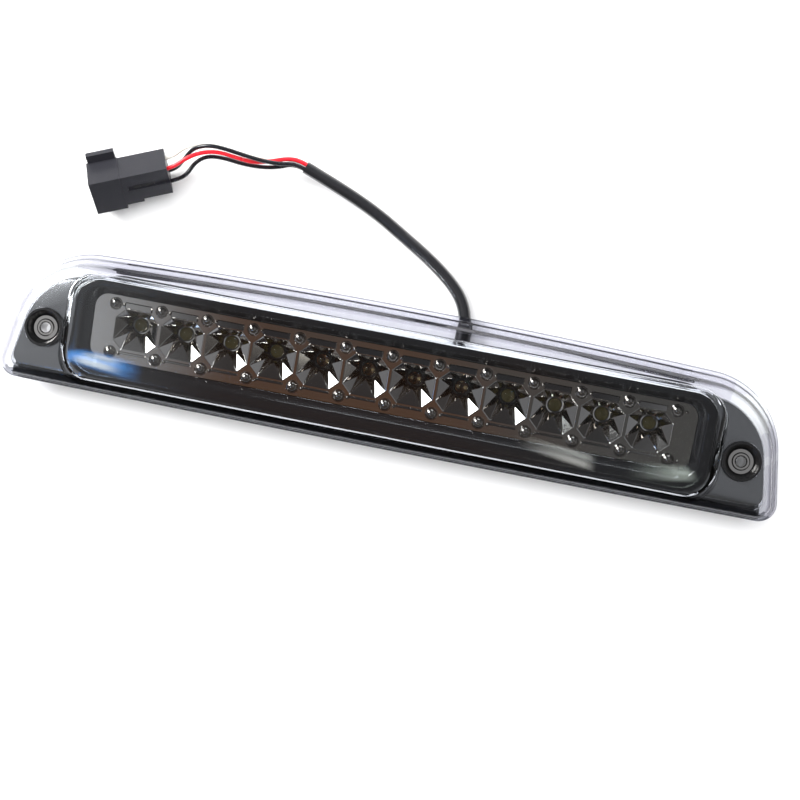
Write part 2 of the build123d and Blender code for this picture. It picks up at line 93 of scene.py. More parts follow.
SLEEVE_D = 6.5
WIRE_D = 2.2
WIRE_OFFSET = 1.25
CABLE_X = 31.6
CABLE_Z = 5.4
CONNECTOR_RIDGE = Vector((-169.9, 66.75, 28.3))
CONNECTOR_HEADING = math.radians(23.2)
CONNECTOR_RISE = math.radians(-6.3)
CONNECTOR_ROLL = math.radians(37.2)
CONNECTOR_LENGTH = 40.6
CRIMP_DEPTH = 4.3
CRIMP_END = CONNECTOR_LENGTH - CRIMP_DEPTH
PIN_COLUMNS = (4.3, 12.4)
PIN_ROWS = (-3.9, -12.6)

along = Vector(
    (
        math.cos(CONNECTOR_HEADING) * math.cos(CONNECTOR_RISE),
        math.sin(CONNECTOR_HEADING) * math.cos(CONNECTOR_RISE),
        math.sin(CONNECTOR_RISE),
    )
)
across = Vector((-math.sin(CONNECTOR_HEADING), math.cos(CONNECTOR_HEADING), 0))
face_up = across * math.sin(CONNECTOR_ROLL) + along.cross(across) * math.cos(CONNECTOR_ROLL)
face_side = face_up.cross(along)

sleeve_route = [
    (CABLE_X, 16.2, CABLE_Z),
    (CABLE_X, 31.8, CABLE_Z),
    (29.6, 41.0, 4.9),
    (24.6, 49.2, 4.0),
    (15.3, 57.4, 3.6),
    (4.6, 64.8, 3.5),
    (-9.0, 72.8, 3.6),
    (-22.6, 80.8, 4.6),
    (-35.8, 86.9, 6.4),
    (-49.5, 92.3, 9.1),
    (-64.4, 97.8, 12.0),
]
mouth = Vector(sleeve_route[-1])
out = (mouth - Vector(sleeve_route[-2])).normalized()
beside = Vector((0, 0, 1)).cross(out).normalized()
above = out.cross(beside)


def mouth_place(beside_sign, above_sign, ahead=0.0):
    """A wire's place at the sleeve's mouth, or ahead of it."""
    return mouth - beside * (WIRE_OFFSET * beside_sign) + above * (WIRE_OFFSET * above_sign) + out * ahead


def connector_place(y, z, behind=0.0):
    """A wire's place at the end of its crimp, or behind it."""
    return CONNECTOR_RIDGE + along * (CRIMP_END + behind) + face_side * y + face_up * z


near, far = PIN_COLUMNS
upper, lower = PIN_ROWS
wire_routes = {
    "wire_white": [
        connector_place(far, upper),
        connector_place(far, upper, 7.5),
        (-128.2, 96.2, 15.0),
        (-119.6, 100.0, 15.6),
        (-110.8, 100.2, 15.8),
        (-102.2, 98.3, 15.4),
        (-92.6, 98.2, 13.2),
        (-84.0, 98.8, 11.4),
        (-75.6, 100.2, 10.6),
        mouth_place(1, -1, 4.6),
        mouth_place(1, -1),
    ],
    "wire_black_upper": [
        connector_place(far, lower),
        connector_place(far, lower, 7.6),
        (-127.4, 90.2, 13.0),
        (-122.6, 96.1, 18.8),
        (-114.2, 98.8, 21.6),
        (-104.6, 98.4, 21.4),
        (-94.6, 97.0, 20.0),
        (-85.4, 96.2, 17.8),
        (-77.0, 96.6, 15.4),
        mouth_place(-1, 1, 5.0),
        mouth_place(-1, 1),
    ],
    "wire_red": [
        connector_place(near, upper),
        connector_place(near, upper, 7.0),
        (-124.8, 90.3, 20.0),
        (-117.8, 94.8, 19.2),
        (-109.0, 96.7, 18.6),
        (-99.6, 95.6, 17.0),
        (-90.6, 94.9, 15.2),
        (-82.0, 97.4, 13.8),
        (-74.4, 100.2, 14.0),
        mouth_place(1, 1, 4.6),
        mouth_place(1, 1),
    ],
    "wire_black_lower": [
        connector_place(near, lower),
        connector_place(near, lower, 7.0),
        (-124.0, 82.6, 14.6),
        (-121.0, 89.4, 15.2),
        (-115.4, 93.9, 15.4),
        (-106.8, 94.6, 14.9),
        (-97.4, 93.5, 13.4),
        (-88.0, 93.6, 12.0),
        (-79.4, 95.0, 11.4),
        mouth_place(-1, -1, 5.4),
        mouth_place(-1, -1),
    ],
}


CORD_STEPS = 16
CORD_ROUND_STEPS = 8


def cord_tube(name, route, diameter):
    """A round tube on one smooth open spline along a route's control points, and the points of its line."""
    data = bpy.data.curves.new(name, "CURVE")
    data.dimensions = "3D"
    data.resolution_u = CORD_STEPS
    data.bevel_depth = diameter / 2 * MM
    data.bevel_resolution = CORD_ROUND_STEPS
    data.use_fill_caps = True
    spline = data.splines.new("NURBS")
    spline.points.add(len(route) - 1)
    for point, place in zip(spline.points, route):
        point.co = (*(Vector(place) * MM), 1.0)
    spline.order_u = 3
    spline.use_endpoint_u = True
    curve = bpy.data.objects.new(name + "_line", data)
    scene.collection.objects.link(curve)
    tube = bpy.data.objects.new(name, bpy.data.meshes.new_from_object(curve))
    scene.collection.objects.link(tube)
    data.bevel_depth = 0
    line = [v.co.copy() for v in bpy.data.meshes.new_from_object(curve).vertices]
    bpy.data.objects.remove(curve)
    return tube, line


cords = {"cable_sleeve": cord_tube("sleeve", sleeve_route, SLEEVE_D)}
for node_name, route in wire_routes.items():
    cords[node_name] = cord_tube(node_name.replace("wire", "lead"), route, WIRE_D)
for node_name, (tube, _) in cords.items():
    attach(tube, "lamp")
    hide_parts(node_name)

# ---- Rings: closed loops of matching points, lofted into skins --------------------------------------------

SMOOTH_ANGLE = 30.0

HALF_HEIGHT = 36.9
HALF_LENGTH_LOW = 203.3
HALF_LENGTH_HIGH = 192.4
BOW_LOW = 0.7
BOW_HIGH = 4.6
CORNER_LOW_R = 9.0
CORNER_HIGH_R = 40.0
TILT = math.radians(12.0)
TRAY_Y = -1.9
TRAY_Z = 24.0

LOW_EDGE_STEPS = 20
LOW_CORNER_STEPS = 14
SIDE_STEPS = 6
HIGH_CORNER_STEPS = 24
HIGH_EDGE_STEPS = 24


def arc(centre, radius, start, end, steps):
    """Points along an arc, without its last one."""
    angles = np.linspace(start, end, steps, endpoint=False)
    return np.column_stack((centre[0] + radius * np.cos(angles), centre[1] + radius * np.sin(angles)))


def both_halves(*stretches):
    """A closed loop from its right half, which runs from mid lower edge to mid upper edge."""
    half = np.vstack(stretches)
    return np.vstack((half, half[1:-1][::-1] * (-1, 1)))


def outline(side, low, high, z):
    """The lamp's outline at a height, inset at its sides, its lower edge and its upper edge."""
    side_lean = (HALF_LENGTH_LOW - HALF_LENGTH_HIGH) / (2 * HALF_HEIGHT - BOW_LOW - BOW_HIGH)
    x_low = HALF_LENGTH_LOW - side - low * side_lean
    x_high = HALF_LENGTH_HIGH - side + high * side_lean
    foot = np.array((x_low, low - HALF_HEIGHT + BOW_LOW))
    head = np.array((x_high, HALF_HEIGHT - high - BOW_HIGH))
    direction = (head - foot) / np.linalg.norm(head - foot)
    inward = np.array((-direction[1], direction[0]))
    outward_angle = math.atan2(-inward[1], -inward[0])
    stretches = []
    for sign, x_end, bow, edge, corner_r in (
        (-1, x_low, BOW_LOW, low - HALF_HEIGHT, CORNER_LOW_R - side / 2),
        (1, x_high, BOW_HIGH, HALF_HEIGHT - high, CORNER_HIGH_R - side),
    ):
        edge_r = (x_end**2 + bow**2) / (2 * bow)
        edge_centre = np.array((0, edge - sign * edge_r))
        start = foot + inward * corner_r - edge_centre
        middle = start @ direction
        shift = -middle + sign * math.sqrt(middle**2 - start @ start + (edge_r - corner_r) ** 2)
        corner = foot + inward * corner_r + direction * shift
        tangent = math.atan2(corner[1] - edge_centre[1], corner[0])
        side_end = corner - inward * corner_r
        stretches.append((edge_centre, edge_r, tangent, corner, corner_r, side_end))
    low_centre, low_r, low_tangent, low_corner, low_corner_r, side_start = stretches[0]
    high_centre, high_r, high_tangent, high_corner, high_corner_r, side_end = stretches[1]
    flat = both_halves(
        arc(low_centre, low_r, -math.pi / 2, low_tangent, LOW_EDGE_STEPS),
        arc(low_corner, low_corner_r, low_tangent, outward_angle, LOW_CORNER_STEPS),
        np.linspace(side_start, side_end, SIDE_STEPS, endpoint=False),
        arc(high_corner, high_corner_r, outward_angle, high_tangent, HIGH_CORNER_STEPS),
        arc(high_centre, high_r, high_tangent, math.pi / 2, HIGH_EDGE_STEPS),
        [(0, HALF_HEIGHT - high)],
    )
    return np.column_stack((flat, np.full(len(flat), z)))


def rounded(half_length, low, high, radius):
    """A rounded rectangle with the same points as the lamp's outline."""
    quarter = math.pi / 2
    reach = half_length - radius
    return both_halves(
        np.linspace((0, low), (reach, low), LOW_EDGE_STEPS, endpoint=False),
        arc((reach, low + radius), radius, -quarter, 0, LOW_CORNER_STEPS),
        np.linspace((half_length, low + radius), (half_length, high - radius), SIDE_STEPS, endpoint=False),
        arc((reach, high - radius), radius, 0, quarter, HIGH_CORNER_STEPS),
        np.linspace((reach, high), (0, high), HIGH_EDGE_STEPS, endpoint=False),
        [(0, high)],
    )


def level(points, z):
    """Points of a flat loop at a height."""
    return np.column_stack((points, np.full(len(points), z)))


def leaning(points, n):
    """Points of a flat loop in the tray's leaning plane, at a height above it."""
    return np.column_stack(
        (
            points[:, 0],
            TRAY_Y + points[:, 1] * math.cos(TILT) - n * math.sin(TILT),
            TRAY_Z + points[:, 1] * math.sin(TILT) + n * math.cos(TILT),
        )
    )


CURVE_STEPS = 5
CUT_BACK_MOST = 0.48


def softened(rings, cut_backs):
    """The rings of a cross-section, with a short curve in place of each ring that has a cut-back."""
    result = []
    for index, (ring, cut_back) in enumerate(zip(rings, cut_backs)):
        if not cut_back:
            result.append(ring)
            continue
        ends = []
        for other in (rings[index - 1], rings[(index + 1) % len(rings)]):
            run = other - ring
            length = np.linalg.norm(run, axis=1, keepdims=True)
            ends.append(ring + run / length * np.minimum(cut_back, CUT_BACK_MOST * length))
        for t in np.linspace(0, 1, CURVE_STEPS):
            result.append(ends[0] * (1 - t) ** 2 + ring * 2 * t * (1 - t) + ends[1] * t**2)
    return result


WELD_DISTANCE = 1e-7


def add_mesh(name, points, faces, smooth_angle=SMOOTH_ANGLE):
    """A mesh object from millimetre points, smooth where its faces meet at less than an angle."""
    mesh = bpy.data.meshes.new(name)
    mesh.from_pydata([tuple(point) for point in np.asarray(points) * MM], [], faces)
    welded = bmesh.new()
    welded.from_mesh(mesh)
    bmesh.ops.remove_doubles(welded, verts=welded.verts, dist=WELD_DISTANCE)
    bmesh.ops.recalc_face_normals(welded, faces=welded.faces)
    welded.to_mesh(mesh)
    welded.free()
    if smooth_angle:
        mesh.polygons.foreach_set("use_smooth", [True] * len(mesh.polygons))
        mesh.set_sharp_from_angle(angle=math.radians(smooth_angle))
    piece = bpy.data.objects.new(name, mesh)
    scene.collection.objects.link(piece)
    return piece


def lofted(name, rings, closed=False, smooth_angle=SMOOTH_ANGLE):
    """A skin through matching rings, its ends joined to each other or capped."""
    count = len(rings[0])
    faces = []
    last = len(rings) if closed else len(rings) - 1
    for row in range(last):
        here = row * count
        there = (row + 1) % len(rings) * count
        for i in range(count):
            j = (i + 1) % count
            faces.append((here + i, here + j, there + j, there + i))
    if not closed:
        faces.append(tuple(range(count)))
        faces.append(tuple(range((len(rings) - 1) * count, len(rings) * count)))
    return add_mesh(name, np.vstack(rings), faces, smooth_angle)


def baked(piece):
    """Apply a piece's modifiers to its mesh."""
    shown = piece.evaluated_get(bpy.context.evaluated_depsgraph_get())
    mesh = bpy.data.meshes.new_from_object(shown)
    piece.modifiers.clear()
    piece.data = mesh


BORE_STEPS = 72
BORE_LOW = 10.0
BORE_HIGH = 40.0


def bored(piece, places, radius, smooth_angle=SMOOTH_ANGLE):
    """Cut round holes straight through a piece."""
    points = []
    faces = []
    steps = BORE_STEPS
    for x, y in places:
        start = len(points)
        for z in (BORE_LOW, BORE_HIGH):
            for point in arc((x, y), radius, 0, 2 * math.pi, steps):
                points.append((point[0], point[1], z))
        faces.append(tuple(range(start, start + steps)))
        faces.append(tuple(range(start + steps, start + 2 * steps)))
        for i in range(steps):
            j = (i + 1) % steps
            faces.append((start + i, start + j, start + steps + j, start + steps + i))
    cutter = add_mesh(piece.name + "_cutter", points, faces)
    cut = piece.modifiers.new("holes", "BOOLEAN")
    cut.operation = "DIFFERENCE"
    cut.solver = "EXACT"
    cut.object = cutter
    baked(piece)
    bpy.data.objects.remove(cutter)
    piece.data.polygons.foreach_set("use_smooth", [True] * len(piece.data.polygons))
    piece.data.set_sharp_from_angle(angle=math.radians(smooth_angle))


# ---- Materials ------------------------------------------------------------------------------------------


COAT_ROUGHNESS = 0.08
DRIFT_SCALE = 60.0
GRAIN_SCALE = 900.0
GRAIN_DEPTH = 0.0002


def painted(
    name, color, roughness, metallic=0.0, spread=0.0, grain=0.0, grain_scale=GRAIN_SCALE, coat=0.0, tint=None
):
    """A solid material: its roughness varies by spread, and its colour drifts towards a tint."""
    material = bpy.data.materials.new(name)
    material.use_nodes = True
    tree = material.node_tree
    shader = tree.nodes["Principled BSDF"]
    shader.inputs["Base Color"].default_value = (*color, 1)
    shader.inputs["Roughness"].default_value = roughness
    shader.inputs["Metallic"].default_value = metallic
    shader.inputs["Coat Weight"].default_value = coat
    shader.inputs["Coat Roughness"].default_value = COAT_ROUGHNESS
    place = tree.nodes.new("ShaderNodeTexCoord")
    noise = tree.nodes.new("ShaderNodeTexNoise")
    noise.inputs["Scale"].default_value = DRIFT_SCALE
    noise.inputs["Detail"].default_value = 4.0
    tree.links.new(place.outputs["Object"], noise.inputs["Vector"])
    if spread:
        span = tree.nodes.new("ShaderNodeMapRange")
        span.inputs["To Min"].default_value = max(roughness - spread, 0.0)
        span.inputs["To Max"].default_value = roughness + spread
        tree.links.new(noise.outputs["Fac"], span.inputs["Value"])
        tree.links.new(span.outputs["Result"], shader.inputs["Roughness"])
    if tint:
        mix = tree.nodes.new("ShaderNodeMix")
        mix.data_type = "RGBA"
        mix.inputs["A"].default_value = (*color, 1)
        mix.inputs["B"].default_value = (*tint, 1)
        tree.links.new(noise.outputs["Fac"], mix.inputs["Factor"])
        tree.links.new(mix.outputs["Result"], shader.inputs["Base Color"])
    if grain:
        fine = tree.nodes.new("ShaderNodeTexNoise")
        fine.inputs["Scale"].default_value = grain_scale
        fine.inputs["Detail"].default_value = 2.0
        bump = tree.nodes.new("ShaderNodeBump")
        bump.inputs["Strength"].default_value = grain
        bump.inputs["Distance"].default_value = GRAIN_DEPTH
        tree.links.new(place.outputs["Object"], fine.inputs["Vector"])
        tree.links.new(fine.outputs["Fac"], bump.inputs["Height"])
        tree.links.new(bump.outputs["Normal"], shader.inputs["Normal"])
    return material


def clear(name, color, ior=1.49):
    """A clear moulding: glass to the eye, and open to the light that falls on what is behind it."""
    material = bpy.data.materials.new(name)
    material.use_nodes = True
    tree = material.node_tree
    tree.nodes.remove(tree.nodes["Principled BSDF"])
    glass = tree.nodes.new("ShaderNodeBsdfGlass")
    glass.inputs["Color"].default_value = (*color, 1)
    glass.inputs["IOR"].default_value = ior
    glass.inputs["Roughness"].default_value = 0.0
    open_way = tree.nodes.new("ShaderNodeBsdfTransparent")
    open_way.inputs["Color"].default_value = (*color, 1)
    ray = tree.nodes.new("ShaderNodeLightPath")
    sharp = tree.nodes.new("ShaderNodeMath")
    sharp.operation = "MAXIMUM"
    mix = tree.nodes.new("ShaderNodeMixShader")
    tree.links.new(ray.outputs["Is Camera Ray"], sharp.inputs[0])
    tree.links.new(ray.outputs["Is Singular Ray"], sharp.inputs[1])
    tree.links.new(sharp.outputs["Value"], mix.inputs["Fac"])
    tree.links.new(open_way.outputs["BSDF"], mix.inputs[1])
    tree.links.new(glass.outputs["BSDF"], mix.inputs[2])
    tree.links.new(mix.outputs["Shader"], tree.nodes["Material Output"].inputs["Surface"])
    return material


lens_clear = clear("lens_clear", (0.97, 0.98, 0.985))
# The darker clear copies below are painted shade on parts of the one lens moulding: its rim, its steep edges,
# its flange and lower band, and its lower root.
lens_rim_shade = clear("lens_rim_shade", (0.86, 0.86, 0.895))
lens_edge_shade = clear("lens_edge_shade", (0.80, 0.80, 0.84))
lens_flange_shade = clear("lens_flange_shade", (0.50, 0.51, 0.54))
lens_root_shade = clear("lens_root_shade", (0.45, 0.46, 0.48))
dome_clear = clear("led_clear", (0.78, 0.76, 0.72), ior=1.5)
chrome = painted(
    "reflector_chrome", (0.72, 0.71, 0.70), 0.07, metallic=1.0, spread=0.03, tint=(0.68, 0.65, 0.62)
)
# The studs' chrome is a darker copy of the reflector's chrome: painted shade that dims their reflections.
stud_shaded_chrome = painted("stud_shaded_chrome", (0.40, 0.38, 0.36), 0.07, metallic=1.0, spread=0.03)
smoked_chrome = painted("smoked_chrome", (0.33, 0.33, 0.34), 0.16, metallic=1.0, spread=0.03)
# The black gloss below is painted: a dark reflection on the bezel's border and shade round each lamp's foot.
# The bright chrome after it is a painted reflection of the bright floor on the bezel's walls that face the
# upper edge.
painted_dark_gloss = painted("painted_dark_gloss", (0.008, 0.008, 0.009), 0.10, spread=0.03)
painted_bright_chrome = painted("painted_bright_chrome", (0.88, 0.89, 0.92), 0.06, metallic=1.0, spread=0.02)
housing_black = painted("housing_black", (0.020, 0.020, 0.022), 0.45, spread=0.1, grain=0.25)
rubber_black = painted("rubber_black", (0.007, 0.007, 0.0075), 0.34, spread=0.10, grain=0.2)
gasket_foam = painted("gasket_foam", (0.05, 0.05, 0.053), 0.85, spread=0.1, grain=0.8, grain_scale=1800.0)
seal_butyl = painted("seal_butyl", (0.04, 0.04, 0.045), 0.5, spread=0.1)
bushing_bright = painted("bushing_bright", (0.66, 0.65, 0.63), 0.09, metallic=1.0, spread=0.06)
screw_zinc = painted("screw_zinc", (0.62, 0.62, 0.60), 0.28, metallic=1.0, spread=0.08)
board_green = painted(
    "board_green", (0.025, 0.10, 0.05), 0.35, spread=0.08, tint=(0.02, 0.08, 0.045), coat=0.3
)
epoxy_black = painted("epoxy_black", (0.010, 0.010, 0.011), 0.4, spread=0.1, grain=0.2)
phosphor = painted("phosphor", (0.085, 0.080, 0.030), 0.35, spread=0.05, tint=(0.06, 0.055, 0.02), coat=0.6)
copper_cup = painted("copper_cup", (0.17, 0.085, 0.045), 0.25, metallic=1.0, spread=0.06)
die_gold = painted("die_gold", (0.95, 0.80, 0.55), 0.18, metallic=1.0)
sleeve_pvc = painted(
    "sleeve_pvc", (0.014, 0.014, 0.016), 0.22, spread=0.10, grain=0.6, grain_scale=230.0, coat=0.7
)
wire_white_pvc = painted("wire_white_pvc", (0.86, 0.85, 0.78), 0.32, spread=0.06, coat=0.2)
wire_red_pvc = painted("wire_red_pvc", (0.78, 0.012, 0.025), 0.28, spread=0.06, coat=0.3)
wire_black_pvc = painted("wire_black_pvc", (0.011, 0.011, 0.014), 0.26, spread=0.06, coat=0.3)
connector_nylon = painted(
    "connector_nylon", (0.027, 0.027, 0.033), 0.38, spread=0.08, grain=0.35, grain_scale=1400.0
)
lock_nylon = painted("lock_nylon", (0.022, 0.022, 0.024), 0.4, spread=0.08)
terminal_tin = painted("terminal_tin", (0.78, 0.75, 0.68), 0.25, metallic=1.0, spread=0.08)
floor_paper = painted("floor_paper", (0.93, 0.93, 0.93), 0.7)

# ---- Lens -----------------------------------------------------------------------------------------------

SCREW_PLACES = ((-179.8, -8.5), (179.8, -8.5))
SCREW_WELL_R = 10.0
LENS_SMOOTH_ANGLE = 38.0
PLATE_Z = 13.0
PLATE_INNER_Z = 15.5
FLANGE_TOP_Z = 16.0
FOOT_TOP_Z = 18.5
EAR_Z = 25.0
LENS_T = 2.5
PILLOW_N = 8.0
PILLOW_CROWN = 0.9
CROWN_STEPS = 7
CROWN_REACH = CROWN_STEPS + 0.15
CROWN_LEAST_R = 0.3
PILLOW_FACE = (167.5, -30.0, 27.6, 15.0)
PILLOW_FACE_INNER = (165.2, -27.7, 25.5, 12.5)
PILLOW_ROOT = (169.5, -33.9, 23.8, 16.0)
PILLOW_ROOT_INNER = (167.0, -30.9, 21.2, 13.5)

RIM_END_WIDTH = 7.0
RIM_LOW_WIDTH = 4.0
RIM_HIGH_WIDTH = 12.0
FLANGE_ROUNDING = 0.12
STEEP_FACING = 0.75
ROOT_HEIGHT = 1.2
ROOT_Y = -30.8
# Slots of the darker clear copies: painted shade on the lens.
RIM_SHADE_SLOT = 1
EDGE_SHADE_SLOT = 2
FLANGE_SHADE_SLOT = 3
ROOT_SHADE_SLOT = 4


def in_rim(place):
    """Whether a place lies in the lens's outer rim, clear of its foot."""
    x, y = abs(place.x / MM), place.y / MM
    lean = (HALF_LENGTH_LOW - HALF_LENGTH_HIGH) / (2 * HALF_HEIGHT)
    in_end = x + (y + HALF_HEIGHT) * lean > HALF_LENGTH_LOW - RIM_END_WIDTH
    return place.z < EAR_Z * MM and (
        in_end or y < RIM_LOW_WIDTH - HALF_HEIGHT or y > HALF_HEIGHT - RIM_HIGH_WIDTH
    )


def rim_shade_slot(face):
    """The painted-shade slot of a face in the lens's rim: the darkest copy for its flange and lower band, a
    dark one for its steep faces, and a lightly darkened one for the rest.
    """
    outward = face.normal.xy.dot(face.center.xy) > 0
    in_flange = outward and face.normal.z > -0.1 and face.center.z < (FLANGE_TOP_Z + FLANGE_ROUNDING) * MM
    if in_flange or face.center.y < (RIM_LOW_WIDTH - HALF_HEIGHT) * MM:
        return FLANGE_SHADE_SLOT
    return EDGE_SHADE_SLOT if abs(face.normal.z) < STEEP_FACING else RIM_SHADE_SLOT


def crowned(shape, n, rise):
    """Rings that close a leaning rounded face with a shallow crown, from its edge inwards."""
    half_length, low, high, radius = shape
    reach = (high - low) / 2
    rings = []
    for step in range(1, CROWN_STEPS + 1):
        share = step / CROWN_REACH
        inset = reach * share
        corner_r = max(radius * (1 - share), CROWN_LEAST_R)
        smaller = rounded(half_length - inset, low + inset, high - inset, corner_r)
        rings.append(leaning(smaller, n + rise * (1 - (1 - share) ** 2)))
    return rings


inner_crown = crowned(PILLOW_FACE_INNER, PILLOW_N - LENS_T, PILLOW_CROWN)
outer_crown = crowned(PILLOW_FACE, PILLOW_N, PILLOW_CROWN)
lens_section = softened(
    [
        leaning(rounded(*PILLOW_FACE_INNER), PILLOW_N - LENS_T),
        level(rounded(*PILLOW_ROOT_INNER), EAR_Z - LENS_T),
        outline(7.6, 5.2, 12.4, EAR_Z - LENS_T),
        outline(7.6, 5.2, 12.4, FOOT_TOP_Z),
        outline(11.3, 6.1, 16.6, FOOT_TOP_Z),
        outline(11.3, 6.1, 16.6, PLATE_INNER_Z),
        outline(9.2, 0.4, 13.4, PLATE_INNER_Z),
        outline(9.2, 0.4, 13.4, PLATE_Z),
        outline(0, 0, 0, PLATE_Z),
        outline(0, 0, 0, FLANGE_TOP_Z),
        outline(1.3, 0.6, 2.2, FLANGE_TOP_Z + 0.5),
        outline(2.1, 1.0, 3.4, FLANGE_TOP_Z + 3.6),
        outline(3.3, 1.6, 5.6, FLANGE_TOP_Z + 4.6),
        outline(4.3, 2.1, 7.4, EAR_Z - 1.0),
        outline(5.5, 2.7, 8.8, EAR_Z),
        level(rounded(*PILLOW_ROOT), EAR_Z),
        leaning(rounded(*PILLOW_FACE), PILLOW_N),
    ],
    [0, 0.8, 0.6, 0, 0.4, 0, 0, 0, 0.5, 0.8, 0.5, 0.6, 0.6, 0.6, 0.8, 0.5, 0],
)
pillow_edge = softened(
    [level(rounded(*PILLOW_ROOT), EAR_Z), leaning(rounded(*PILLOW_FACE), PILLOW_N), outer_crown[0]],
    [0, 2.2, 0],
)
lens = lofted(
    "lens_clear",
    inner_crown[::-1] + lens_section[:-1] + pillow_edge[1:-1] + outer_crown,
    smooth_angle=LENS_SMOOTH_ANGLE,
)
bored(lens, SCREW_PLACES, SCREW_WELL_R, smooth_angle=LENS_SMOOTH_ANGLE)
for material in (lens_clear, lens_rim_shade, lens_edge_shade, lens_flange_shade, lens_root_shade):
    lens.data.materials.append(material)
# Rim, steep edge, flange and lower-root faces get the darker clear copies: painted shade, picked by where a
# face lies and which way it faces.
for face in lens.data.polygons:
    if in_rim(face.center):
        face.material_index = rim_shade_slot(face)
    elif face.center.y < ROOT_Y * MM and face.center.z < (EAR_Z + ROOT_HEIGHT) * MM:
        face.material_index = ROOT_SHADE_SLOT
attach(lens, "lamp")
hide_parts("lens")

# ---- Bezel ----------------------------------------------------------------------------------------------

BORDER_N = 4.5
BEZEL_T = 1.5
BEZEL_TOP_Z = 21.5
WINDOW = (154.8, -17.2, 17.2, 7.5)
BEZEL_BOW = 3.0
BORDER_FOOT_Z = 21.7
REFLECTING_WALL_FACING = 0.75
DARK_REFLECTION_SLOT = 1
BRIGHT_REFLECTION_SLOT = 2


def bowed(points, rise):
    """Points of a flat loop with the middle of its upper edge bowed out."""
    reach = points[:, 0].max()
    near_top = np.clip(points[:, 1] / points[:, 1].max(), 0, 1) ** 6
    lift = rise * near_top * (1 - (points[:, 0] / reach) ** 2)
    return points + np.column_stack((np.zeros(len(points)), lift))


bezel_section = [
    leaning(rounded(*WINDOW), -BEZEL_T),
    leaning(rounded(*WINDOW), 0.0),
    leaning(rounded(158.7, -21.0, 21.0, 10.0), BORDER_N),
    leaning(rounded(164.2, -26.5, 24.3, 13.0), BORDER_N),
    level(bowed(rounded(165.3, -28.9, 20.7, 14.0), BEZEL_BOW), BEZEL_TOP_Z),
    outline(7.9, 7.1, 12.9, BEZEL_TOP_Z),
    outline(7.9, 7.1, 12.9, BEZEL_TOP_Z - BEZEL_T),
    level(bowed(rounded(163.9, -27.6, 19.1, 12.5), BEZEL_BOW), BEZEL_TOP_Z - BEZEL_T),
    leaning(rounded(162.7, -25.0, 22.8, 11.5), BORDER_N - BEZEL_T),
    leaning(rounded(160.2, -22.5, 22.5, 11.5), BORDER_N - BEZEL_T),
    leaning(rounded(156.3, -18.7, 18.7, 9.0), -BEZEL_T),
]
bezel = lofted(
    "bezel_smoked",
    softened(bezel_section, [0, 0.4, 0.9, 1.9, 0.7, 0.35, 0, 0, 0, 0, 0]),
    closed=True,
)
# The border band is painted black as a dark reflection; its walls that face the upper edge are painted bright
# chrome as a reflection of the floor.
for material in (smoked_chrome, painted_dark_gloss, painted_bright_chrome):
    bezel.data.materials.append(material)
for face in bezel.data.polygons:
    if face.center.z > BORDER_FOOT_Z * MM:
        face.material_index = BRIGHT_REFLECTION_SLOT if face.normal.y > REFLECTING_WALL_FACING else DARK_REFLECTION_SLOT
bored(bezel, SCREW_PLACES, SCREW_WELL_R + 0.1)
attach(bezel, "lamp")
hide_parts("bezel")

# ---- Reflector: leaning tray, faceted cups, studs and bars ----------------------------------------------

LED_COUNT = 12
LED_PITCH = 24.0
LED_Y = 2.1
CUP_HALF_WIDTH = 11.1
CUP_HALF_HEIGHT = 10.3
CUP_CORNER = 4.6
BELLY_SHARE = 0.80
BELLY_DEPTH = 0.30
CUP_HOLE_R = 4.6
SHADE_RING_R = 3.95
SHADE_RING_STEPS = 40
CUP_HOLE_Z = 13.0
STUD_ROW = 12.6
TRAY_T = 1.0
TRAY_EDGE_R = 0.22
SHADE_RING_DROP = 0.1
SHADE_RING_BAND = 0.2

led_columns = [(i - (LED_COUNT - 1) / 2) * LED_PITCH for i in range(LED_COUNT)]
stud_columns = [(i - LED_COUNT / 2) * LED_PITCH for i in range(LED_COUNT + 1)]


def cup_rings(column):
    """A cup's facet corners: its mouth, its belly half a step round, and the hole round its lamp."""
    w, h, c = CUP_HALF_WIDTH, CUP_HALF_HEIGHT, CUP_CORNER
    corners = [
        (w, c - h), (w, h - c), (w - c, h), (c - w, h),
        (-w, h - c), (-w, c - h), (c - w, -h), (w - c, -h),
    ]
    mouth_ring = leaning(np.array(corners) + (column, 0), 0.0)
    angles = [math.atan2(y, x) for x, y in corners]
    hole = np.array(
        [(column + CUP_HOLE_R * math.cos(a), LED_Y + CUP_HOLE_R * math.sin(a), CUP_HOLE_Z) for a in angles]
    )
    rim_middle = (mouth_ring + np.roll(mouth_ring, -1, axis=0)) / 2
    hole_middle = (hole + np.roll(hole, -1, axis=0)) / 2
    belly = rim_middle + (hole_middle - rim_middle) * (BELLY_SHARE, BELLY_SHARE, BELLY_DEPTH)
    return mouth_ring, belly, hole


def tray_face():
    """The leaning face between the window's edge and the cups, filled round their mouths."""
    filled = bmesh.new()
    edge = leaning(rounded(154.6, -17.0, 17.0, 7.2), 0.0)
    loops = [edge] + [cup_rings(column)[0] for column in led_columns]
    for loop in loops:
        corners = [filled.verts.new(Vector(point)) for point in loop]
        for i, corner in enumerate(corners):
            filled.edges.new((corner, corners[(i + 1) % len(corners)]))
    bmesh.ops.triangle_fill(filled, use_beauty=True, use_dissolve=False, edges=filled.edges)
    filled.verts.index_update()
    points = [tuple(vert.co) for vert in filled.verts]
    faces = [tuple(vert.index for vert in face.verts) for face in filled.faces]
    filled.free()
    return points, faces


